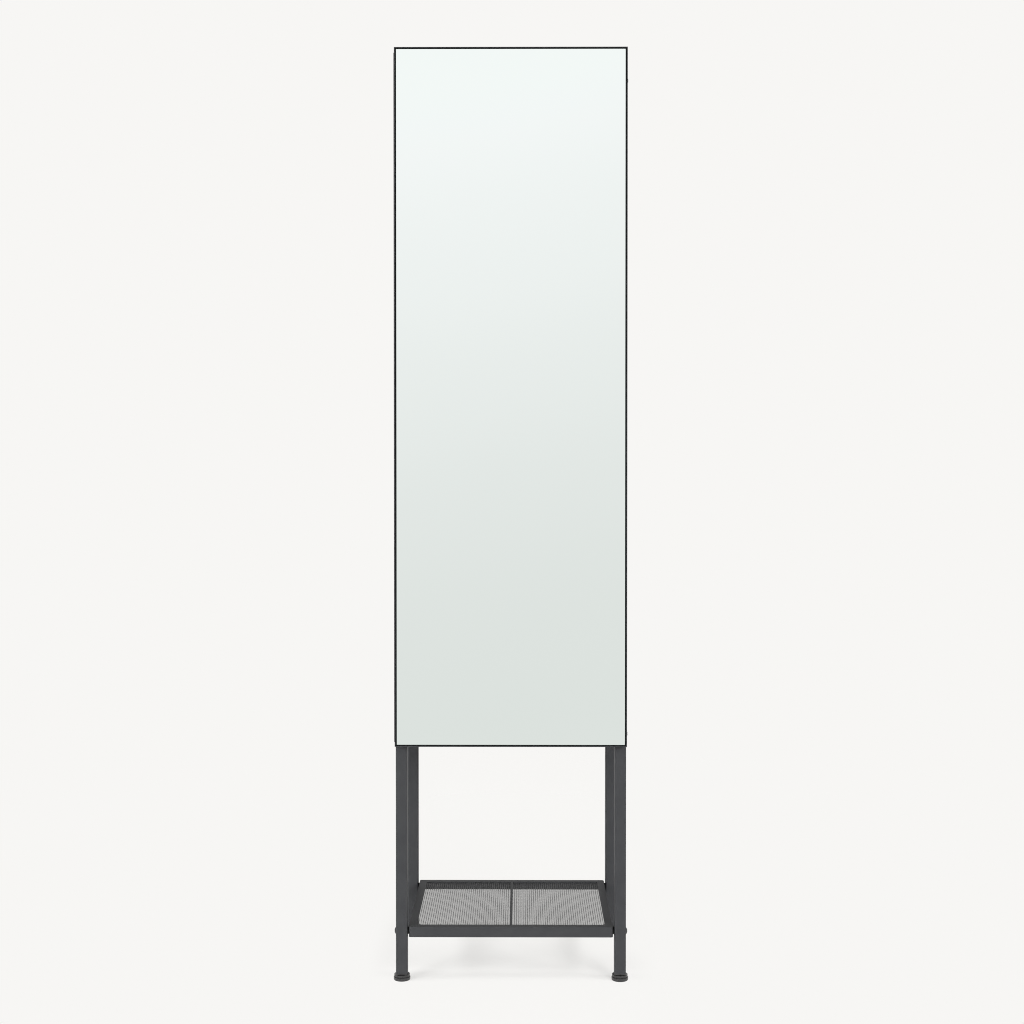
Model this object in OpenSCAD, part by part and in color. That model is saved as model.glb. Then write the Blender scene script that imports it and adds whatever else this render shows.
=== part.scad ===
// Free-standing steel medicine cabinet with a full-height mirror door.
// Four square posts carry a closed box above and a mesh tray near the floor.
// The door hangs on a continuous hinge at the left; each foot is a levelling screw.
// Units are millimetres. +Z is up, the mirror faces -Y, and the origin is on the
// floor under the middle of the cabinet.

/* [Overall] */
// Height from the floor to the top of the door
total_h = 1612; // [1212:10:1912]
// Width over the posts and of the door
frame_w = 400; // [340:10:500]
// Depth over the posts, without the door
frame_d = 300; // [240:10:400]

/* [Posts] */
// Side of the square post tube
tube = 20; // [18:1:25]
// Wall thickness of the post tube
tube_wall = 1.5; // [1:0.1:2]
// Outside corner radius of the post tube
tube_r = 2.5; // [2:0.5:4]
// Gap between a post and the panel or tray beside it
side_gap = 2.5; // [2:0.5:5]

/* [Box] */
// Height of the space under the box
open_h = 414; // [300:2:600]
// Thickness of the folded sheet steel
sheet = 0.8; // [0.7:0.1:1.2]
// Width of the folded edges of the side panels
fold_w = 12; // [8:1:15]
// Height of the folded rim of a shelf, and of the top and bottom panels
rim_h = 18; // [12:1:25]
// Number of shelves
shelf_count = 4; // [3:1:5]

/* [Door] */
// Height of the door
door_h = 1200; // [900:10:1400]
// Thickness of the door
door_t = 16; // [14:1:20]
// Gap between the door and the posts
door_gap = 4; // [4:0.5:5]
// Sheet thickness of the door's rim
rim_wall = 1.2; // [1:0.1:1.5]
// Width of the door rim's folded back edge
return_w = 15; // [12:1:20]
// Thickness of the mirror
glass_t = 4; // [3:1:5]
// Width of the dark edge between the mirror and the outside of the door
glass_inset = 3; // [2:0.5:6]

/* [Hinge] */
// Number of knuckles, shared by the two leaves
knuckle_count = 34; // [20:2:50]
// Outside radius of the knuckles
knuckle_r = 1.85; // [1.6:0.05:1.9]
// Radius of the hinge pin
hinge_pin_r = 0.9; // [0.8:0.05:1]
// Thickness of a hinge leaf
leaf_t = 0.9; // [0.8:0.1:1]
// Width of a hinge leaf, from the pin
leaf_w = 18; // [14:1:19]

/* [Tray] */
// Height of the tray's underside above the floor
tray_z = 76.5; // [40:0.5:200]
// Height of the tray's rim
tray_h = 18; // [16:1:30]
// Sheet thickness of the tray's rim
tray_wall = 1.5; // [1:0.1:2]
// Width of the rim's folded top edge, inside the rim
lip_w = 12; // [8:1:20]
// Outside corner radius of the tray
tray_r = 4; // [3:0.5:4]
// Thickness of the wire mesh
mesh_t = 1.4; // [0.8:0.1:1.5]
// Width of the strip across the middle of the tray
strip_w = 4; // [3:0.5:12]

/* [Feet] */
// Diameter of the pad that stands on the floor
pad_d = 29; // [24:1:36]
// Diameter of the disc that is turned by hand
disc_d = 27; // [22:1:28]
// Diameter of the levelling screw
screw_d = 8; // [6:1:10]
// Height of the bottom of the posts' inserts above the floor
foot_h = 10.5; // [9:0.5:16]

/* [Hidden] */

$fn = 48;

LEFT = -1;
RIGHT = 1;
FRONT = 0;
REAR = 1;
SIDES = [LEFT, RIGHT];
ENDS = [FRONT, REAR];

steel_colour = [0.29, 0.30, 0.31];
dark_colour = [0.12, 0.12, 0.13];
zinc_colour = [0.62, 0.63, 0.64];
mirror_colour = [0.86, 0.91, 0.90];
foam_colour = [0.85, 0.85, 0.82];

// depth from the door's face to the rear pads' edge, centred on the origin
pad_over = (pad_d - tube) / 2;
total_d = door_t + door_gap + frame_d + pad_over;
door_front = -total_d / 2;
door_back = door_front + door_t;
post_front = door_back + door_gap;
post_back = post_front + frame_d;
half_w = frame_w / 2;

// the posts' centre lines
post_x = half_w - tube / 2;
post_y = [post_front + tube / 2, post_back - tube / 2];
cap_t = 2;
plug_clear = 0.1;
post_top = total_h - cap_t;
post_bottom = foot_h + cap_t;

// the box between the posts
box_x = half_w - tube - side_gap;
box_in = box_x - sheet;
box_z0 = open_h;
box_z1 = total_h - cap_t;
back_inset = 2;
web_back = post_back - back_inset;
pan_y0 = post_front + sheet;
pan_y1 = web_back - sheet;
shelf_pitch = (box_z1 - box_z0 - 2 * sheet) / (shelf_count + 1);
shelf_side_gap = 1;
shelf_end_gap = 2;

// screwed joints
bolt_r = 3;
bolt_hole_r = 3.2;
head_r = 6;
head_h = 3;
head_rim = 0.8;
slot_w = 1.6;
slot_depth = 1.4;
dome_steps = 5;
nut_r = 5.77;
nut_t = 5;
thread_past_nut = 2;
spacer_r = 6;
low_bolt_z = box_z0 + 16;
high_bolt_z = box_z1 - 49;
tray_bolt_z = tray_z + tray_h / 2;

// shelf supports
pin_r = 2.5;
pin_fit = 0.05;
pin_head_r = 3;
pin_in = 7;
pin_out = 1.5;
pin_y = [pan_y0 + 30, pan_y1 - 27];
pin_step = 32;

// blind rivets
rivet_r = 1.6;
rivet_fit = 0.05;
rivet_head_r = 3;
rivet_head_t = 0.8;
rivet_tail_r = 2.4;
rivet_tail_l = 3;
back_rivet_x = box_x - fold_w / 2;
back_rivet_shares = [0.2, 0.7];
lid_rivet_y = [post_y[0] + 75, post_y[1] - 75];
lid_rivet_z = box_z1 - 10;

// holes in the back panel for the screws that tie the cabinet to a wall
anchor_x = 120;
anchor_r = 3.5;
anchor_z = box_z1 - 68;

// the door
door_z0 = total_h - door_h;
door_mid = door_z0 + door_h / 2;
glass_back = door_front + glass_t;
tape_t = 0.8;
panel_front = glass_back + tape_t;
panel_back = panel_front + sheet;
tape_w = 12;
tape_end = 30;
tape_xs = [-150, -50, 50, 150];
rib_h = 30;
rib_end_gap = 1.8;
rib_back = door_back - rim_wall - 0.8;

// the continuous hinge
hinge_x = -half_w - 0.4;
hinge_y = (door_back + post_front) / 2;
hinge_end = 5;
hinge_h = door_h - 2 * hinge_end;
hinge_z0 = door_z0 + hinge_end;
knuckle_l = hinge_h / knuckle_count;
knuckle_gap = 0.3;
bore_fit = 0.05;
notch_gap = 0.6;
rivet_x = -post_x;
door_rivet_shares = [0.2, 0.7];
post_rivet_shares = [0.45, 0.9];

// the catch on the post beside the door's free edge
catch_z = [door_mid - 200, door_mid + 200];
bumper_z = [door_z0 + 50, total_h - 75];
bumper_r = 4;
bumper_t = door_gap - 0.3;
catch_collar_r = 6;
catch_body_r = 4.95;
catch_hole_r = 5;
catch_depth = 12;
magnet_r = 4;
magnet_t = 6;

// the feet
pad_t = 6;
pad_edge = 1;
socket_floor = 1.5;
collar_r = 6;
turn_fit = 0.05;
disc_z0 = pad_t + 0.3;
disc_z1 = foot_h - 0.6;
grip_count = 18;
grip_r = 1.2;
grip_out = 0.7;
stem_top = 38;
insert_top = 35;
screw_r = screw_d / 2;

// points of a rectangle with rounded corners, centred on the origin
function rounded(w, d, r, steps = 5) =
    [for (c = [0:3], s = [0:steps])
        let (a = 90 * c + 90 * s / steps,
             sx = (c == 0 || c == 3) ? 1 : -1,
             sy = c < 2 ? 1 : -1)
        [sx * (w / 2 - r) + r * cos(a), sy * (d / 2 - r) + r * sin(a)]];

// height of the top of a shelf, counted from the bottom
function shelf_top(n) = box_z0 + sheet + n * shelf_pitch;

// heights at the given shares of the way up each compartment, clear of the shelves' edges
function levels(shares) =
    [for (n = [0:shelf_count], share = shares) shelf_top(n) + share * shelf_pitch];

// height of the centre of the pins under a shelf
function pin_z(n) = shelf_top(n) - rim_h - pin_head_r;

// a box from its lowest to its highest corner
module block(low, high) {
    translate(low) cube(high - low);
}

// a cylinder along X from x0 to x1
module rod_x(r, x0, x1, y, z) {
    translate([min(x0, x1), y, z]) rotate([0, 90, 0]) cylinder(r = r, h = abs(x1 - x0));
}

// a cylinder along Y from y0 to y1
module rod_y(r, y0, y1, x, z) {
    translate([x, max(y0, y1), z]) rotate([90, 0, 0]) cylinder(r = r, h = abs(y1 - y0));
}

// a cylinder along Z from z0 to z1
module rod_z(r, z0, z1, x, y) {
    translate([x, y, z0]) cylinder(r = r, h = z1 - z0);
}

// ---- posts ----

// one square tube with the holes for its three bolts
module post(side, end) {
    x = side * post_x;
    y = post_y[end];
    difference() {
        translate([x, y, post_bottom]) linear_extrude(post_top - post_bottom) difference() {
            polygon(rounded(tube, tube, tube_r));
            polygon(rounded(tube - 2 * tube_wall, tube - 2 * tube_wall, tube_r - tube_wall));
        }
        for (z = [tray_bolt_z, low_bolt_z, high_bolt_z])
            rod_x(bolt_hole_r, x - tube, x + tube, y, z);
    }
}

module post_front_left() {
    color(steel_colour) difference() {
        post(LEFT, FRONT);
        for (z = levels(post_rivet_shares))
            rod_y(rivet_r + rivet_fit, post_front - 1, post_front + tube / 2, rivet_x, z);
    }
}

module post_front_right() {
    color(steel_colour) difference() {
        post(RIGHT, FRONT);
        for (z = catch_z)
            rod_y(catch_hole_r, post_front - 1, post_front + tube / 2, post_x, z);
    }
}

module post_rear_left() {
    color(steel_colour) post(LEFT, REAR);
}

module post_rear_right() {
    color(steel_colour) post(RIGHT, REAR);
}

// a plug pushed into the end of a tube, with a plate that covers the end
module tube_plug(plate_z, plug_z, plug_l) {
    bore = tube - 2 * tube_wall - 2 * plug_clear;
    translate([0, 0, plate_z]) linear_extrude(cap_t) polygon(rounded(tube, tube, tube_r));
    translate([0, 0, plug_z]) linear_extrude(plug_l) polygon(rounded(bore, bore, tube_r - tube_wall));
}

module post_caps() {
    cap_plug = 12;
    color(dark_colour) for (side = SIDES, end = ENDS)
        translate([side * post_x, post_y[end], 0])
            tube_plug(post_top, post_top - cap_plug, cap_plug);
}

// the nut inserts that the levelling screws turn in
module leg_inserts() {
    color(dark_colour) for (side = SIDES, end = ENDS)
        translate([side * post_x, post_y[end], 0]) difference() {
            tube_plug(foot_h, post_bottom, insert_top - post_bottom);
            rod_z(screw_r + turn_fit, foot_h - 1, insert_top + 1, 0, 0);
        }
}

// ---- box ----

// a side panel: a flat web with folded edges at the front and at the back
module side_panel(side) {
    color(steel_colour) difference() {
        union() {
            block([min(side * box_in, side * box_x), post_front, box_z0],
                  [max(side * box_in, side * box_x), web_back, box_z1]);
            for (y = [post_front, web_back - sheet]) {
                x_fold = side * (box_x - fold_w);
                block([min(x_fold, side * box_x), y, box_z0],
                      [max(x_fold, side * box_x), y + sheet, box_z1]);
            }
        }
        for (y = post_y, z = [low_bolt_z, high_bolt_z])
            rod_x(bolt_hole_r, side * (box_in - 1), side * (box_x + 1), y, z);
        for (n = [1:shelf_count], step = [-1:1], y = pin_y)
            rod_x(pin_r + pin_fit, side * (box_in - 1), side * (box_x + 1), y, pin_z(n) + step * pin_step);
        for (y = lid_rivet_y)
            rod_x(rivet_r + rivet_fit, side * (box_in - 1), side * (box_x + 1), y, lid_rivet_z);
        for (z = levels(back_rivet_shares))
            rod_y(rivet_r + rivet_fit, web_back - 2 * sheet, web_back + sheet,
                  side * back_rivet_x, z);
    }
}

module side_panel_left() {
    side_panel(LEFT);
}

module side_panel_right() {
    side_panel(RIGHT);
}

module back_panel() {
    color(steel_colour) difference() {
        block([-box_x, web_back, box_z0], [box_x, web_back + sheet, box_z1]);
        for (side = SIDES, z = levels(back_rivet_shares))
            rod_y(rivet_r + rivet_fit, web_back - 1, web_back + sheet + 1,
                  side * back_rivet_x, z);
        for (side = SIDES)
            rod_y(anchor_r, web_back - 1, web_back + sheet + 1, side * anchor_x, anchor_z);
    }
}

// a sheet with all four edges folded down by rim_h, its top at z = 0
module pan(half_x, y0, y1) {
    difference() {
        block([-half_x, y0, -rim_h], [half_x, y1, 0]);
        block([sheet - half_x, y0 + sheet, -rim_h - 1], [half_x - sheet, y1 - sheet, -sheet]);
    }
}

module top_panel() {
    color(steel_colour) difference() {
        translate([0, 0, box_z1]) pan(box_in, pan_y0, pan_y1);
        for (y = lid_rivet_y)
            rod_x(rivet_r + rivet_fit, -half_w, half_w, y, lid_rivet_z);
    }
}

// the bottom panel's edges are folded up, and the lower bolts go through them
module bottom_panel() {
    color(steel_colour) difference() {
        translate([0, 0, box_z0]) mirror([0, 0, 1]) pan(box_in, pan_y0, pan_y1);
        for (y = post_y)
            rod_x(bolt_hole_r, -half_w, half_w, y, low_bolt_z);
    }
}

module shelf(n) {
    color(steel_colour) translate([0, 0, shelf_top(n)])
        pan(box_in - shelf_side_gap, pan_y0 + shelf_end_gap, pan_y1 - shelf_end_gap);
}

module shelf_1() {
    shelf(1);
}

module shelf_2() {
    shelf(2);
}

module shelf_3() {
    shelf(3);
}

module shelf_4() {
    shelf(4);
}

// pegs through the side panels, which a shelf's folded rim rests on
module shelf_pins() {
    color(zinc_colour) for (side = SIDES, n = [1:shelf_count], y = pin_y) {
        rod_x(pin_head_r, side * (box_in - pin_in), side * box_in, y, pin_z(n));
        rod_x(pin_r, side * box_in, side * (box_x + pin_out), y, pin_z(n));
    }
}

// a blind rivet along +Z: the head is above z = 0 and the grip below it
module rivet(grip) {
    cylinder(r = rivet_head_r, h = rivet_head_t);
    translate([0, 0, -grip]) cylinder(r = rivet_r, h = grip);
    translate([0, 0, -grip - rivet_tail_l]) cylinder(r = rivet_tail_r, h = rivet_tail_l);
}

module panel_rivets() {
    color(steel_colour) {
        for (side = SIDES, z = levels(back_rivet_shares))
            translate([side * back_rivet_x, web_back + sheet, z])
                rotate([-90, 0, 0]) rivet(2 * sheet);
        for (side = SIDES, y = lid_rivet_y)
            translate([side * box_x, y, lid_rivet_z])
                rotate([0, side * 90, 0]) rivet(2 * sheet);
    }
}

// ---- bolts, nuts and spacers between the posts and what they carry ----

module spacer(side, end, z) {
    y = post_y[end];
    difference() {
        rod_x(spacer_r, side * box_x, side * (box_x + side_gap), y, z);
        rod_x(bolt_hole_r, side * (box_x - 1), side * (box_x + side_gap + 1), y, z);
    }
}

// a domed bolt head on z = 0 with a slot along Y
module bolt_head() {
    dome_h = head_h - head_rim;
    dome_r = (head_r * head_r + dome_h * dome_h) / (2 * dome_h);
    dome_a = asin(head_r / dome_r);
    dome = [for (n = [0:dome_steps - 1])
        let (a = dome_a * (1 - n / dome_steps))
        [dome_r * sin(a), head_h - dome_r * (1 - cos(a))]];
    difference() {
        rotate_extrude() polygon(concat([[0, 0], [head_r, 0]], dome, [[0, head_h]]));
        translate([0, 0, head_h]) cube([slot_w, 3 * head_r, 2 * slot_depth], center = true);
    }
}

// a slotted button-head bolt from outside a post to past the nut
module bolt(side, end, z, nut_x) {
    y = post_y[end];
    rod_x(bolt_r, side * (nut_x - nut_t - thread_past_nut), side * half_w, y, z);
    translate([side * half_w, y, z]) rotate([0, side * 90, 0]) bolt_head();
}

// a hexagon nut whose outer face is at nut_x
module nut(side, end, z, nut_x) {
    y = post_y[end];
    x0 = side > 0 ? nut_x - nut_t : -nut_x;
    difference() {
        translate([x0, y, z]) rotate([0, 90, 0]) cylinder(r = nut_r, h = nut_t, $fn = 6);
        rod_x(bolt_r, side * (nut_x - nut_t - 1), side * (nut_x + 1), y, z);
    }
}

module box_spacers() {
    color(dark_colour) for (side = SIDES, end = ENDS, z = [low_bolt_z, high_bolt_z])
        spacer(side, end, z);
}

module tray_spacers() {
    color(dark_colour) for (side = SIDES, end = ENDS)
        spacer(side, end, tray_bolt_z);
}

module box_bolts() {
    color(dark_colour) for (side = SIDES, end = ENDS) {
        bolt(side, end, low_bolt_z, box_in - sheet);
        bolt(side, end, high_bolt_z, box_in);
    }
}

module tray_bolts() {
    color(dark_colour) for (side = SIDES, end = ENDS)
        bolt(side, end, tray_bolt_z, box_x - tray_wall);
}

module box_nuts() {
    color(zinc_colour) for (side = SIDES, end = ENDS) {
        nut(side, end, low_bolt_z, box_in - sheet);
        nut(side, end, high_bolt_z, box_in);
    }
}

module tray_nuts() {
    color(zinc_colour) for (side = SIDES, end = ENDS)
        nut(side, end, tray_bolt_z, box_x - tray_wall);
}

// ---- tray ----

tray_w = 2 * box_x;
tray_mid_y = (post_front + post_back) / 2;
mesh_top = tray_z + tray_h - tray_wall;
mesh_bottom = mesh_top - mesh_t;

// an angle ring: an upright rim with its top edge folded inwards
module tray_frame() {
    inner_w = tray_w - 2 * tray_wall;
    inner_d = frame_d - 2 * tray_wall;
    color(steel_colour) difference() {
        translate([0, tray_mid_y, tray_z]) difference() {
            linear_extrude(tray_h) polygon(rounded(tray_w, frame_d, tray_r));
            translate([0, 0, -tray_wall]) linear_extrude(tray_h)
                polygon(rounded(inner_w, inner_d, tray_r - tray_wall));
            linear_extrude(tray_h + 1)
                square([inner_w - 2 * lip_w, inner_d - 2 * lip_w], center = true);
        }
        for (y = post_y)
            rod_x(bolt_hole_r, -half_w, half_w, y, tray_bolt_z);
    }
}

// the wire mesh under the rim's top edge, as a plate of its outer size
module tray_mesh() {
    mesh_gap = 0.3;
    mesh_w = tray_w - 2 * tray_wall - 2 * mesh_gap;
    mesh_d = frame_d - 2 * tray_wall - 2 * mesh_gap;
    color(zinc_colour) translate([0, tray_mid_y, mesh_bottom]) linear_extrude(mesh_t)
        polygon(rounded(mesh_w, mesh_d, tray_r - tray_wall));
}

// the strip over the mesh at mid width, welded between the rim's front and back lips
module tray_strip() {
    lip_in = tray_wall + lip_w;
    color(steel_colour)
        block([-strip_w / 2, post_front + lip_in, mesh_top],
              [strip_w / 2, post_back - lip_in, mesh_top + tray_wall]);
}

// ---- catch and bumpers ----

module magnet_holders() {
    color(dark_colour) for (z = catch_z) difference() {
        union() {
            rod_y(catch_collar_r, post_front - bumper_t, post_front, post_x, z);
            rod_y(catch_body_r, post_front, post_front + catch_depth, post_x, z);
        }
        rod_y(magnet_r, post_front - bumper_t - 1, post_front - bumper_t + magnet_t, post_x, z);
    }
}

module catch_magnets() {
    color(zinc_colour) for (z = catch_z)
        rod_y(magnet_r, post_front - bumper_t, post_front - bumper_t + magnet_t, post_x, z);
}

module door_bumpers() {
    color(dark_colour) for (z = bumper_z)
        rod_y(bumper_r, post_front - bumper_t, post_front, post_x, z);
}

// ---- hinge ----

// a leaf with every second knuckle: first is 0 or 1, y0 is the leaf's lower face
module hinge_leaf(first, y0, rivet_zs, bore_r) {
    leaf_x0 = hinge_x + knuckle_r + notch_gap;
    color(steel_colour) difference() {
        union() {
            block([leaf_x0, y0, hinge_z0], [hinge_x + leaf_w, y0 + leaf_t, hinge_z0 + hinge_h]);
            for (n = [first:2:knuckle_count - 1]) {
                z0 = hinge_z0 + n * knuckle_l + knuckle_gap / 2;
                z1 = hinge_z0 + (n + 1) * knuckle_l - knuckle_gap / 2;
                block([hinge_x, y0, z0], [leaf_x0 + 1, y0 + leaf_t, z1]);
                rod_z(knuckle_r, z0, z1, hinge_x, hinge_y);
            }
        }
        rod_z(bore_r, hinge_z0 - 1, hinge_z0 + hinge_h + 1, hinge_x, hinge_y);
        for (z = rivet_zs)
            rod_y(rivet_r + rivet_fit, y0 - 1, y0 + leaf_t + 1, rivet_x, z);
    }
}

module hinge_leaf_post() {
    hinge_leaf(0, post_front - leaf_t, levels(post_rivet_shares), hinge_pin_r);
}

module hinge_leaf_door() {
    hinge_leaf(1, door_back, levels(door_rivet_shares), hinge_pin_r + bore_fit);
}

module hinge_pin() {
    color(zinc_colour) rod_z(hinge_pin_r, hinge_z0, hinge_z0 + hinge_h, hinge_x, hinge_y);
}

module hinge_rivets_post() {
    color(steel_colour) for (z = levels(post_rivet_shares))
        translate([rivet_x, post_front - leaf_t, z]) rotate([90, 0, 0]) rivet(leaf_t + tube_wall);
}

module hinge_rivets_door() {
    color(steel_colour) for (z = levels(door_rivet_shares))
        translate([rivet_x, door_back + leaf_t, z]) rotate([-90, 0, 0]) rivet(leaf_t + rim_wall);
}

// ---- door ----

// the rim of the door: a wall round all four sides, folded inwards at the back
module door_frame() {
    color(steel_colour) difference() {
        block([-half_w, door_front, door_z0], [half_w, door_back, total_h]);
        block([rim_wall - half_w, door_front - 1, door_z0 + rim_wall],
              [half_w - rim_wall, door_back - rim_wall, total_h - rim_wall]);
        block([return_w - half_w, door_front - 1, door_z0 + return_w],
              [half_w - return_w, door_back + 1, total_h - return_w]);
        for (z = levels(door_rivet_shares))
            rod_y(rivet_r + rivet_fit, door_back - 2 * rim_wall, door_back + 1, rivet_x, z);
    }
}

// the sheet that the mirror is taped to
module door_panel() {
    color(steel_colour)
        block([rim_wall - half_w, panel_front, door_z0 + rim_wall],
              [half_w - rim_wall, panel_back, total_h - rim_wall]);
}

// channels across the back of the door panel, level with the shelves
module door_stiffeners() {
    half_l = half_w - rim_wall - rib_end_gap;
    color(steel_colour) for (n = [1:shelf_count]) translate([0, 0, shelf_top(n) - rim_h / 2])
        difference() {
            block([-half_l, panel_back, -rib_h / 2], [half_l, rib_back, rib_h / 2]);
            block([-half_l - 1, panel_back - 1, sheet - rib_h / 2],
                  [half_l + 1, rib_back - sheet, rib_h / 2 - sheet]);
        }
}

module mirror_tapes() {
    color(foam_colour) for (x = tape_xs)
        block([x - tape_w / 2, glass_back, door_z0 + tape_end],
              [x + tape_w / 2, panel_front, total_h - tape_end]);
}

module mirror_glass() {
    color(mirror_colour)
        block([glass_inset - half_w, door_front, door_z0 + glass_inset],
              [half_w - glass_inset, glass_back, total_h - glass_inset]);
}

// ---- feet ----

// the pad that stays still on the floor, with a socket for the screw's end
module glide_pad(side, end) {
    r = pad_d / 2;
    color(dark_colour) translate([side * post_x, post_y[end], 0]) difference() {
        rotate_extrude() polygon([[0, 0], [r - pad_edge / 2, 0], [r, pad_edge],
                                  [r, pad_t - pad_edge], [r - pad_edge, pad_t], [0, pad_t]]);
        rod_z(collar_r + turn_fit, socket_floor, pad_t + 1, 0, 0);
    }
}

// the screw with its hand disc, which has grip notches round its edge
module foot_screw(side, end) {
    color(dark_colour) translate([side * post_x, post_y[end], 0]) {
        rod_z(collar_r, socket_floor + turn_fit, disc_z0, 0, 0);
        difference() {
            rod_z(disc_d / 2, disc_z0, disc_z1, 0, 0);
            for (n = [0:grip_count - 1]) rotate([0, 0, n * 360 / grip_count])
                rod_z(grip_r, disc_z0 - 1, disc_z1 + 1, disc_d / 2 + grip_out, 0);
        }
        rod_z(screw_r, disc_z1, stem_top, 0, 0);
    }
}

module glide_pad_front_left() {
    glide_pad(LEFT, FRONT);
}

module glide_pad_front_right() {
    glide_pad(RIGHT, FRONT);
}

module glide_pad_rear_left() {
    glide_pad(LEFT, REAR);
}

module glide_pad_rear_right() {
    glide_pad(RIGHT, REAR);
}

module foot_screw_front_left() {
    foot_screw(LEFT, FRONT);
}

module foot_screw_front_right() {
    foot_screw(RIGHT, FRONT);
}

module foot_screw_rear_left() {
    foot_screw(LEFT, REAR);
}

module foot_screw_rear_right() {
    foot_screw(RIGHT, REAR);
}

post_front_left();
post_front_right();
post_rear_left();
post_rear_right();
post_caps();
leg_inserts();
side_panel_left();
side_panel_right();
back_panel();
top_panel();
bottom_panel();
shelf_1();
shelf_2();
shelf_3();
shelf_4();
shelf_pins();
panel_rivets();
box_spacers();
tray_spacers();
box_bolts();
tray_bolts();
box_nuts();
tray_nuts();
tray_frame();
tray_mesh();
tray_strip();
magnet_holders();
catch_magnets();
door_bumpers();
hinge_leaf_post();
hinge_pin();
hinge_rivets_post();
hinge_leaf_door();
hinge_rivets_door();
door_frame();
door_panel();
door_stiffeners();
mirror_tapes();
mirror_glass();
glide_pad_front_left();
glide_pad_front_right();
glide_pad_rear_left();
glide_pad_rear_right();
foot_screw_front_left();
foot_screw_front_right();
foot_screw_rear_left();
foot_screw_rear_right();
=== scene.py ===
import math

import bpy
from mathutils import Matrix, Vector


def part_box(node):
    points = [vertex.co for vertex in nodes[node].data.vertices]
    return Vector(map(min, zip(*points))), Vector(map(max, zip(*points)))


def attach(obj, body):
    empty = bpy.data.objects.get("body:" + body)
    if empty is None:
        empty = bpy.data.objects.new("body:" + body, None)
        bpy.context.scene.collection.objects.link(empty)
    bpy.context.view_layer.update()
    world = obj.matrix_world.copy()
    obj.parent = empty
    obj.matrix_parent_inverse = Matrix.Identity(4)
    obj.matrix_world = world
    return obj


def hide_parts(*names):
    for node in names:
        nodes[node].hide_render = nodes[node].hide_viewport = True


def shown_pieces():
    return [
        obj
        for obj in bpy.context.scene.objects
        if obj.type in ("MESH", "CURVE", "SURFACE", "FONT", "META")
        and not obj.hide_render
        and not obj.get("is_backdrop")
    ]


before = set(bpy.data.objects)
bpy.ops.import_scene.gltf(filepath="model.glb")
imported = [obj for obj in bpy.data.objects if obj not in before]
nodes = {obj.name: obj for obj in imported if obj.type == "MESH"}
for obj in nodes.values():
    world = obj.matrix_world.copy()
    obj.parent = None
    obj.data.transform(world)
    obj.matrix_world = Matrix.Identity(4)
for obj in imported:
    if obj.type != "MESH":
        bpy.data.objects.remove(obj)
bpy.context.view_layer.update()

# The looks of a steel medicine cabinet with a full-height mirror door: the finish of every
# piece, the welded wire mesh in the tray, the mirror's pane, softened edges, a pale studio
# and the camera. Everything is in metres, in the frame of the CAD model: +Z is up and the
# mirror faces -Y.

MM = 0.001

# ---- camera ----

# found by fitting the render to the photo; the camera turns a little down and left
CAMERA_PLACE = (0.0167, -2.75, 0.8915)
CAMERA_DOWN = math.radians(0.898)
CAMERA_TURN_LEFT = math.radians(0.3237)
CAMERA_LENS_MM = 53.0
CAMERA_SHIFT_Y = -0.0195

# ---- studio light ----

PAPER_COLOUR = (0.930, 0.922, 0.905)

# what the mirror shows: how bright the glow is at heights along its tilted axis
GLOW_TILT = (-0.20, 0.0, 1.0)
GLOW_STEPS = [
    (-0.16, 0.877), (-0.06, 0.90), (0.02, 0.945), (0.10, 0.997), (0.19, 1.05), (0.27, 1.093),
]
# its tints at the lowest and the highest step
GLOW_TINTS = ((0.983, 1.0, 0.998), (1.007, 1.0, 1.029))
# the glow is in directions whose Y is below the first value, and in full below the second
GLOW_FROM_Y = 0.2
GLOW_FULL_Y = -0.7

# the room is dimmer overhead, between these values of a direction's Z
CEILING_LEVEL = 0.18
CEILING_FROM_Z = 0.32
CEILING_FULL_Z = 0.58

# directions towards the lamps; the cabinet's own lamps stand lower by the drop
LEFT_LIGHT = Vector((-0.102, -0.071, 0.0815))
RIGHT_LIGHT = Vector((0.062, -0.084, 0.0815))
LIGHT_ANGLE = math.radians(17)
OBJECT_LIGHT = 1.25
OBJECT_LIGHT_DROP = Vector((0, 0, 0.045))
# on the floor, each side's strip light is a row of soft suns, this far apart
FLOOR_LIGHT = 15.7
STRIP_STEPS = (Vector((0, -0.055, 0)), Vector((0, 0, 0)), Vector((0, 0.055, 0)))

# the floor glows by itself, and reflects a little light
FLOOR_GLOW = 0.592
FLOOR_ALBEDO = 0.04
FLOOR_PLAIN_GLOW = 1.0
# between these distances to each side, the lit floor goes over to the plain glow
FLOOR_LIT_X = 0.19
FLOOR_UNLIT_X = 0.27
FLOOR_CORNERS = 96
# the floor fades away between these radii
FLOOR_OPAQUE_R = 1.2
FLOOR_FADED_R = 2.1


def put(name, data):
    """A new object in the scene."""
    thing = bpy.data.objects.new(name, data)
    bpy.context.scene.collection.objects.link(thing)
    return thing


# ---- node helpers ----

# a noise pattern is mostly between these values
NOISE_LOW = 0.3
NOISE_HIGH = 0.7


def new_finish(name, metallic=0.0, specular=0.5):
    """A material with one Principled shader, and that shader."""
    material = bpy.data.materials.new(name)
    material.use_nodes = True
    shader = material.node_tree.nodes["Principled BSDF"]
    shader.inputs["Metallic"].default_value = metallic
    shader.inputs["Specular IOR Level"].default_value = specular
    return material, shader


def pattern(material, scale, detail=2.0, kind="ShaderNodeTexNoise"):
    """A pattern fixed to the piece; scale is in features per metre."""
    tree = material.node_tree
    place = tree.nodes.new("ShaderNodeTexCoord")
    texture = tree.nodes.new(kind)
    texture.inputs["Scale"].default_value = scale
    if "Detail" in texture.inputs:
        texture.inputs["Detail"].default_value = detail
    tree.links.new(place.outputs["Object"], texture.inputs["Vector"])
    return texture.outputs[0]


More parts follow.
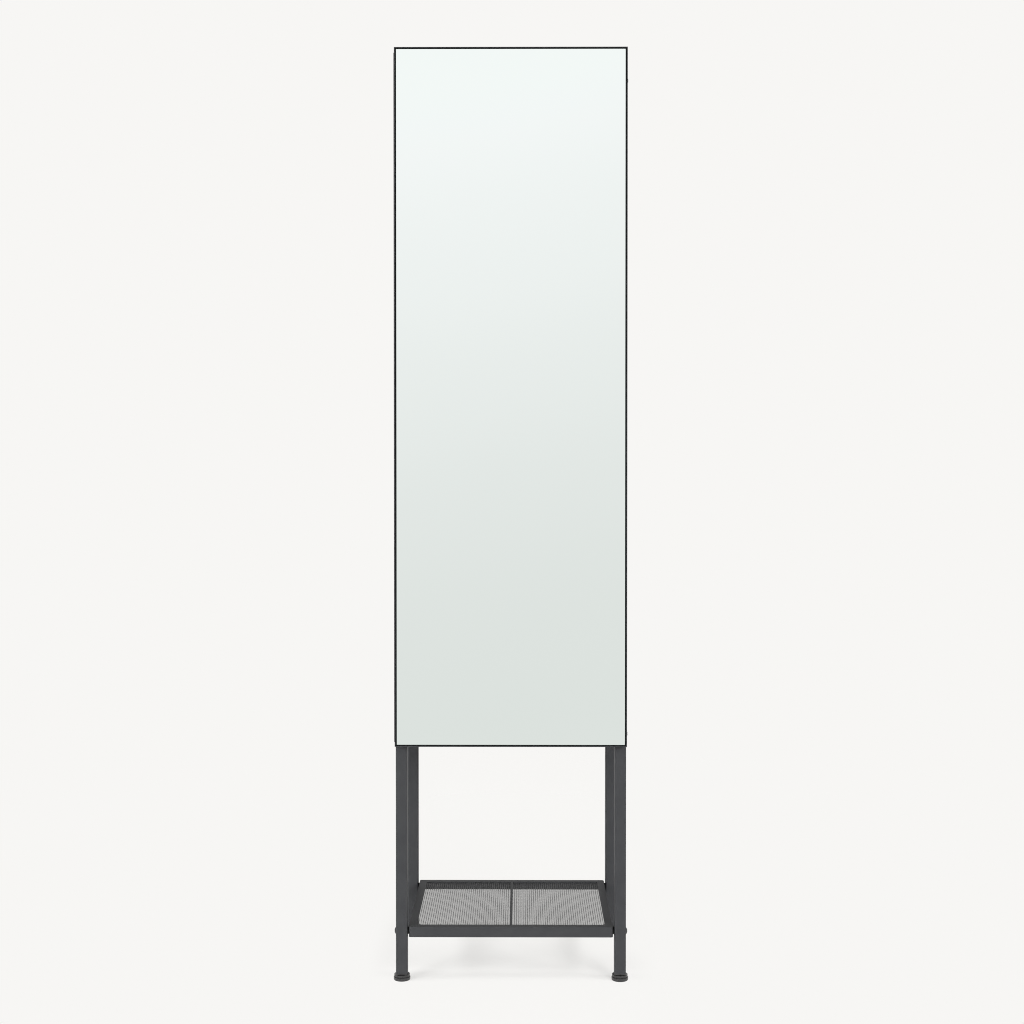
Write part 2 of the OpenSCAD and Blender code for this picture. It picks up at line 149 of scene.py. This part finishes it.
def spread(material, value, low, high):
    """Maps a noise pattern's usual range to low to high."""
    tree = material.node_tree
    ranged = tree.nodes.new("ShaderNodeMapRange")
    ranged.inputs["From Min"].default_value = NOISE_LOW
    ranged.inputs["From Max"].default_value = NOISE_HIGH
    ranged.inputs["To Min"].default_value = low
    ranged.inputs["To Max"].default_value = high
    tree.links.new(value, ranged.inputs["Value"])
    return ranged.outputs["Result"]


def colour_between(material, factor, dark, light):
    """A colour that goes from dark to light with a pattern."""
    tree = material.node_tree
    ramp = tree.nodes.new("ShaderNodeValToRGB")
    ramp.color_ramp.elements[0].color = (*dark, 1)
    ramp.color_ramp.elements[1].color = (*light, 1)
    tree.links.new(factor, ramp.inputs["Fac"])
    return ramp.outputs["Color"]


def use(material, shader, socket, value):
    """Feeds a value or a colour into one of the shader's sockets."""
    material.node_tree.links.new(value, shader.inputs[socket])


def add_bump(material, shader, height, depth):
    """Raises the surface by up to depth with a pattern."""
    tree = material.node_tree
    bump = tree.nodes.new("ShaderNodeBump")
    bump.inputs["Distance"].default_value = depth
    tree.links.new(height, bump.inputs["Height"])
    tree.links.new(bump.outputs["Normal"], shader.inputs["Normal"])


# ---- finishes ----

def powder_coat():
    """Fine-textured anthracite powder coat on steel."""
    material, shader = new_finish("powder_coat_finish", specular=0.25)
    clouds = spread(material, pattern(material, 45, 3), 0, 1)
    use(material, shader, "Base Color",
        colour_between(material, clouds, (0.042, 0.0435, 0.047), (0.049, 0.0505, 0.054)))
    grain = pattern(material, 1700, 3)
    use(material, shader, "Roughness", spread(material, grain, 0.48, 0.60))
    add_bump(material, shader, grain, 0.05 * MM)
    return material


def moulded_plastic():
    """Glossy black moulded plastic."""
    material, shader = new_finish("moulded_plastic")
    clouds = spread(material, pattern(material, 60, 2), 0, 1)
    use(material, shader, "Base Color",
        colour_between(material, clouds, (0.030, 0.030, 0.031), (0.040, 0.040, 0.041)))
    flow = pattern(material, 400, 2)
    use(material, shader, "Roughness", spread(material, flow, 0.20, 0.30))
    add_bump(material, shader, flow, 0.02 * MM)
    return material


def soft_rubber():
    """Dull black rubber of the spacers and bumpers."""
    material, shader = new_finish("soft_rubber", specular=0.3)
    clouds = spread(material, pattern(material, 300, 3), 0, 1)
    use(material, shader, "Base Color",
        colour_between(material, clouds, (0.008, 0.008, 0.008), (0.013, 0.013, 0.012)))
    grain = pattern(material, 2500, 2)
    use(material, shader, "Roughness", spread(material, grain, 0.65, 0.80))
    add_bump(material, shader, grain, 0.03 * MM)
    return material


def black_oxide():
    """Blackened steel screws, with a faint oily sheen."""
    material, shader = new_finish("black_oxide", metallic=0.6)
    clouds = spread(material, pattern(material, 500, 3), 0, 1)
    use(material, shader, "Base Color",
        colour_between(material, clouds, (0.030, 0.030, 0.032), (0.055, 0.055, 0.058)))
    grain = pattern(material, 1800, 2)
    use(material, shader, "Roughness", spread(material, grain, 0.32, 0.46))
    add_bump(material, shader, grain, 0.02 * MM)
    return material


def zinc_plate():
    """Bright zinc plating with small crystals."""
    material, shader = new_finish("zinc_plate", metallic=1.0)
    crystals = pattern(material, 700, kind="ShaderNodeTexVoronoi")
    use(material, shader, "Base Color",
        colour_between(material, crystals, (0.52, 0.53, 0.55), (0.66, 0.67, 0.68)))
    use(material, shader, "Roughness", spread(material, pattern(material, 900, 2), 0.26, 0.40))
    add_bump(material, shader, crystals, 0.01 * MM)
    return material


def drawn_wire():
    """Satin drawn steel wire."""
    material, shader = new_finish("drawn_wire", metallic=0.8)
    clouds = spread(material, pattern(material, 120, 3), 0, 1)
    use(material, shader, "Base Color",
        colour_between(material, clouds, (0.07, 0.07, 0.073), (0.11, 0.11, 0.113)))
    grain = pattern(material, 2500, 2)
    use(material, shader, "Roughness", spread(material, grain, 0.36, 0.50))
    add_bump(material, shader, grain, 0.01 * MM)
    return material


def silvered_glass():
    """The mirror: its silver seen through faintly green glass."""
    material, shader = new_finish("silvered_glass", metallic=1.0)
    clouds = spread(material, pattern(material, 3, 2), 0, 1)
    use(material, shader, "Base Color",
        colour_between(material, clouds, (0.888, 0.936, 0.918), (0.894, 0.941, 0.923)))
    use(material, shader, "Roughness", spread(material, pattern(material, 9, 2), 0.004, 0.010))
    return material


def ground_glass_edge():
    """The mirror's ground edge, darker and greener than its face."""
    material, shader = new_finish("ground_glass_edge")
    streaks = spread(material, pattern(material, 400, 3), 0, 1)
    use(material, shader, "Base Color",
        colour_between(material, streaks, (0.012, 0.022, 0.018), (0.022, 0.038, 0.032)))
    use(material, shader, "Roughness", spread(material, pattern(material, 1500, 2), 0.12, 0.28))
    return material


def backing_paint():
    """The grey paint over the silver on the mirror's back."""
    material, shader = new_finish("backing_paint", specular=0.3)
    clouds = spread(material, pattern(material, 25, 3), 0, 1)
    use(material, shader, "Base Color",
        colour_between(material, clouds, (0.15, 0.16, 0.17), (0.19, 0.20, 0.21)))
    use(material, shader, "Roughness", spread(material, pattern(material, 200, 2), 0.5, 0.65))
    return material


def foam_tape():
    """Off-white foam of the tapes behind the mirror."""
    material, shader = new_finish("foam_tape_finish", specular=0.2)
    cells = pattern(material, 1500, kind="ShaderNodeTexVoronoi")
    use(material, shader, "Base Color",
        colour_between(material, cells, (0.62, 0.61, 0.58), (0.74, 0.73, 0.70)))
    use(material, shader, "Roughness", spread(material, pattern(material, 800, 2), 0.85, 0.95))
    add_bump(material, shader, cells, 0.10 * MM)
    return material


finishes = {
    "powder_coat": powder_coat(),
    "black_plastic": moulded_plastic(),
    "rubber": soft_rubber(),
    "black_bolts": black_oxide(),
    "zinc_steel": zinc_plate(),
    "wire_mesh": drawn_wire(),
    "mirror": silvered_glass(),
    "foam_tape": foam_tape(),
}

for node in nodes.values():
    for material_slot in node.material_slots:
        material_slot.material = finishes[material_slot.material.name]


# ---- wire mesh in the tray ----

# the wires along X, which lie below, and the wires along Y, which lie on them
WIRE_D = (0.45 * MM, 0.90 * MM)
WIRE_PITCH = (2.8 * MM, 3.9 * MM)
WIRE_SIDES = 10
WELD_DEPTH = 0.05 * MM
WIRE_END_GAP = 0.3 * MM
WIRE_SHARP_TURN = math.radians(60)


def wire_tube(start, end, radius, vertices, faces):
    """Adds a closed straight tube from start to end, both at one height."""
    first = len(vertices)
    across = (end - start).cross(Vector((0, 0, 1))).normalized()
    for centre in (start, end):
        for side in range(WIRE_SIDES):
            angle = 2 * math.pi * side / WIRE_SIDES
            outward = across * math.cos(angle) + Vector((0, 0, math.sin(angle)))
            vertices.append(centre + radius * outward)
    for side in range(WIRE_SIDES):
        a = first + side
        b = first + (side + 1) % WIRE_SIDES
        faces.append((a, b, b + WIRE_SIDES, a + WIRE_SIDES))
    faces.append(tuple(first + side for side in reversed(range(WIRE_SIDES))))
    faces.append(tuple(first + WIRE_SIDES + side for side in range(WIRE_SIDES)))


def wire_layer(low, high, along, height, vertices, faces):
    """Adds evenly spaced straight wires along X (0) or Y (1)."""
    across = 1 - along
    count = round((high[across] - low[across]) / WIRE_PITCH[along])
    step = (high[across] - low[across]) / count
    for wire in range(count):
        start = Vector((0, 0, height))
        start[across] = low[across] + (wire + 0.5) * step
        end = start.copy()
        start[along] = low[along] + WIRE_END_GAP
        end[along] = high[along] - WIRE_END_GAP
        wire_tube(start, end, WIRE_D[along] / 2, vertices, faces)


def welded_mesh():
    """The tray's mesh: wires along the depth welded on top of wires across it."""
    low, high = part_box("tray_mesh")
    upper = high.z - WIRE_D[1] / 2
    lower = upper - (WIRE_D[0] + WIRE_D[1]) / 2 + WELD_DEPTH
    vertices, faces = [], []
    for along, height in enumerate((lower, upper)):
        wire_layer(low, high, along, height, vertices, faces)
    mesh = bpy.data.meshes.new("welded_mesh")
    mesh.from_pydata(vertices, [], faces)
    mesh.shade_smooth()
    mesh.set_sharp_from_angle(angle=WIRE_SHARP_TURN)
    mesh.materials.append(finishes["wire_mesh"])
    return put("welded_mesh", mesh)


wires = welded_mesh()
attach(wires, "cabinet")
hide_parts("tray_mesh")


# ---- the mirror's glass ----

PANE_CORNER_R = 1.5 * MM
ARRIS = 0.8 * MM
CORNER_STEPS = 4
PANE_SHARP_TURN = math.radians(30)
# the places of the pane's finishes among its materials
SILVERED, GROUND, PAINTED = range(3)


def pane_outline(low, high, inset, y):
    """An upright rectangle with eased corners, anticlockwise as seen from the front."""
    middle = (low + high) / 2
    reach = (high - low) / 2
    points = []
    for quarter in range(4):
        side = 1 if quarter in (0, 3) else -1
        rise = 1 if quarter < 2 else -1
        for step in range(CORNER_STEPS + 1):
            angle = math.pi / 2 * (quarter + step / CORNER_STEPS)
            radius = PANE_CORNER_R - inset
            x = middle.x + side * (reach.x - PANE_CORNER_R) + radius * math.cos(angle)
            z = middle.z + rise * (reach.z - PANE_CORNER_R) + radius * math.sin(angle)
            points.append(Vector((x, y, z)))
    return points


def mirror_pane():
    """The pane: a silvered face, ground edges with a bevelled arris, and a painted back."""
    low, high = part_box("mirror_glass")
    outlines = [pane_outline(low, high, ARRIS, low.y),
                pane_outline(low, high, 0, low.y + ARRIS),
                pane_outline(low, high, 0, high.y - ARRIS / 2),
                pane_outline(low, high, ARRIS / 2, high.y)]
    vertices = [point for outline in outlines for point in outline]
    count = len(outlines[0])
    faces = [tuple(range(count))]
    for ring in range(len(outlines) - 1):
        for n in range(count):
            a = ring * count + n
            b = ring * count + (n + 1) % count
            faces.append((a, a + count, b + count, b))
    faces.append(tuple(reversed(range(len(vertices) - count, len(vertices)))))
    mesh = bpy.data.meshes.new("mirror_pane")
    mesh.from_pydata(vertices, [], faces)
    for finish in (finishes["mirror"], ground_glass_edge(), backing_paint()):
        mesh.materials.append(finish)
    for face in mesh.polygons:
        face.material_index = GROUND
    mesh.polygons[0].material_index = SILVERED
    mesh.polygons[len(faces) - 1].material_index = PAINTED
    mesh.shade_smooth()
    mesh.set_sharp_from_angle(angle=PANE_SHARP_TURN)
    return put("mirror_pane", mesh)


pane = mirror_pane()
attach(pane, "door")
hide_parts("mirror_glass")


# ---- softened edges ----

# corners closer than this are one
JOIN_WITHIN = 0.005 * MM
# edges that turn by more than this are rounded, in this many steps
SMALLEST_TURN = math.radians(35)
EDGE_STEPS = 2
# sheets whose flats become one face each, so that rounding leaves no slivers between the holes
DRILLED_SHEETS = ("side_panel", "back_panel")
FLAT_WITHIN = math.radians(0.5)


def soften(name, width):
    """Rounds a CAD node's edges, as bending, moulding or coating does."""
    node = nodes[name]
    weld = node.modifiers.new("join_faces", "WELD")
    weld.merge_threshold = JOIN_WITHIN
    if name.startswith(DRILLED_SHEETS):
        flats = node.modifiers.new("whole_flats", "DECIMATE")
        flats.decimate_type = "DISSOLVE"
        flats.angle_limit = FLAT_WITHIN
    bevel = node.modifiers.new("soft_edges", "BEVEL")
    bevel.width = width
    bevel.segments = EDGE_STEPS
    bevel.limit_method = "ANGLE"
    bevel.angle_limit = SMALLEST_TURN
    bevel.miter_outer = "MITER_ARC"
    normals = node.modifiers.new("even_shading", "WEIGHTED_NORMAL")
    normals.keep_sharp = False


# edge radius in millimetres for the nodes whose names start so; the first match counts
EDGE_RADII = [
    ("side_panel", 0.25), ("back_panel", 0.25), ("top_panel", 0.25), ("bottom_panel", 0.25),
    ("shelf_pins", 0.3), ("shelf", 0.25), ("panel_rivets", 0.5),
    ("post_caps", 0.5), ("post", 0.2), ("leg_inserts", 0.4), ("glide_pad", 0.7), ("foot_screw", 0.3),
    ("hinge_leaf", 0.15), ("hinge_rivets", 0.5),
    ("door_frame", 0.35), ("door_panel", 0.25), ("door_stiffeners", 0.25), ("door_bumpers", 0.6),
    ("magnet_holders", 0.5), ("catch_magnets", 0.3),
    ("tray_frame", 0.5), ("tray_strip", 0.2),
    ("box_bolts", 0.2), ("box_nuts", 0.35), ("box_spacers", 0.4),
    ("tray_bolts", 0.2), ("tray_nuts", 0.35), ("tray_spacers", 0.4),
]

for name in nodes:
    radius = next((r for start, r in EDGE_RADII if name.startswith(start)), None)
    if radius:
        soften(name, radius * MM)


# ---- stage ----

def smooth_step(tree, value, start, end):
    """0 where value is start, 1 where it is end, and smooth between."""
    step = tree.nodes.new("ShaderNodeMapRange")
    step.interpolation_type = "SMOOTHSTEP"
    step.inputs["From Min"].default_value = start
    step.inputs["From Max"].default_value = end
    tree.links.new(value, step.inputs["Value"])
    return step.outputs["Result"]


def axis_parts(tree, vector):
    """The outputs X, Y and Z of a vector."""
    axes = tree.nodes.new("ShaderNodeSeparateXYZ")
    tree.links.new(vector, axes.inputs[0])
    return axes.outputs


def paper_glow(tree, strength):
    """A shader that gives off the paper's colour."""
    glowing = tree.nodes.new("ShaderNodeEmission")
    glowing.inputs["Color"].default_value = (*PAPER_COLOUR, 1)
    glowing.inputs["Strength"].default_value = strength
    return glowing.outputs[0]


def mixed_shaders(tree, factor, first, second):
    """A shader that goes from the first to the second with the factor."""
    mix = tree.nodes.new("ShaderNodeMixShader")
    tree.links.new(factor, mix.inputs["Fac"])
    tree.links.new(first, mix.inputs[1])
    tree.links.new(second, mix.inputs[2])
    return mix.outputs[0]


def floor_paper():
    """Paper that takes shadows in the middle, is plain at the sides and clear at the rim."""
    material = bpy.data.materials.new("floor_paper")
    material.use_nodes = True
    tree = material.node_tree
    tree.nodes.clear()
    place = tree.nodes.new("ShaderNodeTexCoord").outputs["Object"]
    aside = tree.nodes.new("ShaderNodeMath")
    aside.operation = "ABSOLUTE"
    tree.links.new(axis_parts(tree, place)["X"], aside.inputs[0])
    radius = tree.nodes.new("ShaderNodeVectorMath")
    radius.operation = "LENGTH"
    tree.links.new(place, radius.inputs[0])
    paper = tree.nodes.new("ShaderNodeBsdfDiffuse")
    paper.inputs["Color"].default_value = (*(FLOOR_ALBEDO * c for c in PAPER_COLOUR), 1)
    lit = tree.nodes.new("ShaderNodeAddShader")
    tree.links.new(paper_glow(tree, FLOOR_GLOW), lit.inputs[0])
    tree.links.new(paper.outputs[0], lit.inputs[1])
    unlit = smooth_step(tree, aside.outputs[0], FLOOR_LIT_X, FLOOR_UNLIT_X)
    surface = mixed_shaders(tree, unlit, lit.outputs[0], paper_glow(tree, FLOOR_PLAIN_GLOW))
    clear = tree.nodes.new("ShaderNodeBsdfTransparent")
    faded = smooth_step(tree, radius.outputs["Value"], FLOOR_OPAQUE_R, FLOOR_FADED_R)
    out = tree.nodes.new("ShaderNodeOutputMaterial")
    tree.links.new(mixed_shaders(tree, faded, surface, clear.outputs[0]), out.inputs["Surface"])
    return material


def studio_floor():
    """A round pale floor that fades into the paper's colour."""
    angles = [2 * math.pi * n / FLOOR_CORNERS for n in range(FLOOR_CORNERS)]
    ring = [FLOOR_FADED_R * Vector((math.cos(a), math.sin(a), 0)) for a in angles]
    mesh = bpy.data.meshes.new("floor")
    mesh.from_pydata(ring, [], [tuple(range(FLOOR_CORNERS))])
    mesh.materials.append(floor_paper())
    floor = put("floor", mesh)
    floor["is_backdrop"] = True
    return floor


def mixed_colours(tree, factor, first, second):
    """A colour between two, each a node's socket or a plain colour."""
    mix = tree.nodes.new("ShaderNodeMix")
    mix.data_type = "RGBA"
    tree.links.new(factor, mix.inputs["Factor"])
    for socket, colour in zip((s for s in mix.inputs if s.type == "RGBA"), (first, second)):
        if isinstance(colour, bpy.types.NodeSocket):
            tree.links.new(colour, socket)
        else:
            socket.default_value = (*colour, 1)
    return next(s for s in mix.outputs if s.type == "RGBA")


def glow_colour(tree, direction):
    """The soft light in front of the mirror: brighter upwards and to one side."""
    height = tree.nodes.new("ShaderNodeVectorMath")
    height.operation = "DOT_PRODUCT"
    height.inputs[1].default_value = GLOW_TILT
    tree.links.new(direction, height.inputs[0])
    lowest, highest = GLOW_STEPS[0][0], GLOW_STEPS[-1][0]
    level = tree.nodes.new("ShaderNodeMapRange")
    level.inputs["From Min"].default_value = lowest
    level.inputs["From Max"].default_value = highest
    tree.links.new(height.outputs["Value"], level.inputs["Value"])
    ramp = tree.nodes.new("ShaderNodeValToRGB")
    ramp.color_ramp.interpolation = "CARDINAL"
    stops = ramp.color_ramp.elements
    while len(stops) < len(GLOW_STEPS):
        stops.new(0.5)
    for stop, (at, light) in zip(stops, GLOW_STEPS):
        share = (at - lowest) / (highest - lowest)
        tint = Vector(GLOW_TINTS[0]).lerp(Vector(GLOW_TINTS[1]), share)
        stop.position = share
        stop.color = (*(light * t * c for t, c in zip(tint, PAPER_COLOUR)), 1)
    tree.links.new(level.outputs["Result"], ramp.inputs["Fac"])
    return ramp.outputs["Color"]


def studio_world():
    """Pale paper all round, dimmer overhead, with a soft glow in front of the mirror."""
    world = bpy.data.worlds.new("studio")
    world.use_nodes = True
    tree = world.node_tree
    direction = tree.nodes.new("ShaderNodeTexCoord").outputs["Generated"]
    axes = axis_parts(tree, direction)
    front = smooth_step(tree, axes["Y"], GLOW_FROM_Y, GLOW_FULL_Y)
    walls = mixed_colours(tree, front, PAPER_COLOUR, glow_colour(tree, direction))
    overhead = smooth_step(tree, axes["Z"], CEILING_FROM_Z, CEILING_FULL_Z)
    ceiling = [CEILING_LEVEL * c for c in PAPER_COLOUR]
    colour = mixed_colours(tree, overhead, walls, ceiling)
    tree.links.new(colour, tree.nodes["Background"].inputs["Color"])
    bpy.context.scene.world = world


def group(name, things):
    """A collection that a light's linking can name."""
    collection = bpy.data.collections.new(name)
    for thing in things:
        collection.objects.link(thing)
    return collection


def soft_sun(name, towards, strength, lit, shading=None):
    """A distant soft light that lights only the group lit, shaded only by the group shading."""
    data = bpy.data.lights.new(name, "SUN")
    data.energy = strength
    data.angle = LIGHT_ANGLE
    lamp = put(name, data)
    lamp.rotation_euler = towards.to_track_quat("Z", "Y").to_euler()
    lamp.light_linking.receiver_collection = lit
    if shading is not None:
        lamp.light_linking.blocker_collection = shading


def side_lights(side, towards, lit_pieces, lit_floor):
    """One side's lamps: one for the cabinet, and a row for the floor that low parts shade."""
    shading = [nodes["tray_frame"]]
    for kind in ("post", "glide_pad", "foot_screw"):
        shading.append(nodes[kind + "_front_" + side])
    low_parts = group("shading_parts_" + side, shading)
    soft_sun("object_light_" + side, towards - OBJECT_LIGHT_DROP, OBJECT_LIGHT, lit_pieces)
    for number, step in enumerate(STRIP_STEPS):
        place = towards + step
        strength = FLOOR_LIGHT / len(STRIP_STEPS) / place.normalized().z
        soft_sun("floor_light_%s_%d" % (side, number), place, strength, lit_floor, low_parts)


def place_camera():
    """The camera, from where the photo was taken."""
    data = bpy.data.cameras.new("camera")
    data.lens = CAMERA_LENS_MM
    data.shift_y = CAMERA_SHIFT_Y
    camera = put("camera", data)
    camera.location = CAMERA_PLACE
    camera.rotation_euler = (math.pi / 2 - CAMERA_DOWN, 0, CAMERA_TURN_LEFT)
    bpy.context.scene.camera = camera


studio_world()
floor = studio_floor()
lit_pieces = group("lit_pieces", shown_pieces())
lit_floor = group("lit_floor", [floor])
side_lights("left", LEFT_LIGHT, lit_pieces, lit_floor)
side_lights("right", RIGHT_LIGHT, lit_pieces, lit_floor)
place_camera()
bpy.context.scene.view_settings.view_transform = "Standard"
bpy.context.scene.cycles.filter_width = 1.0
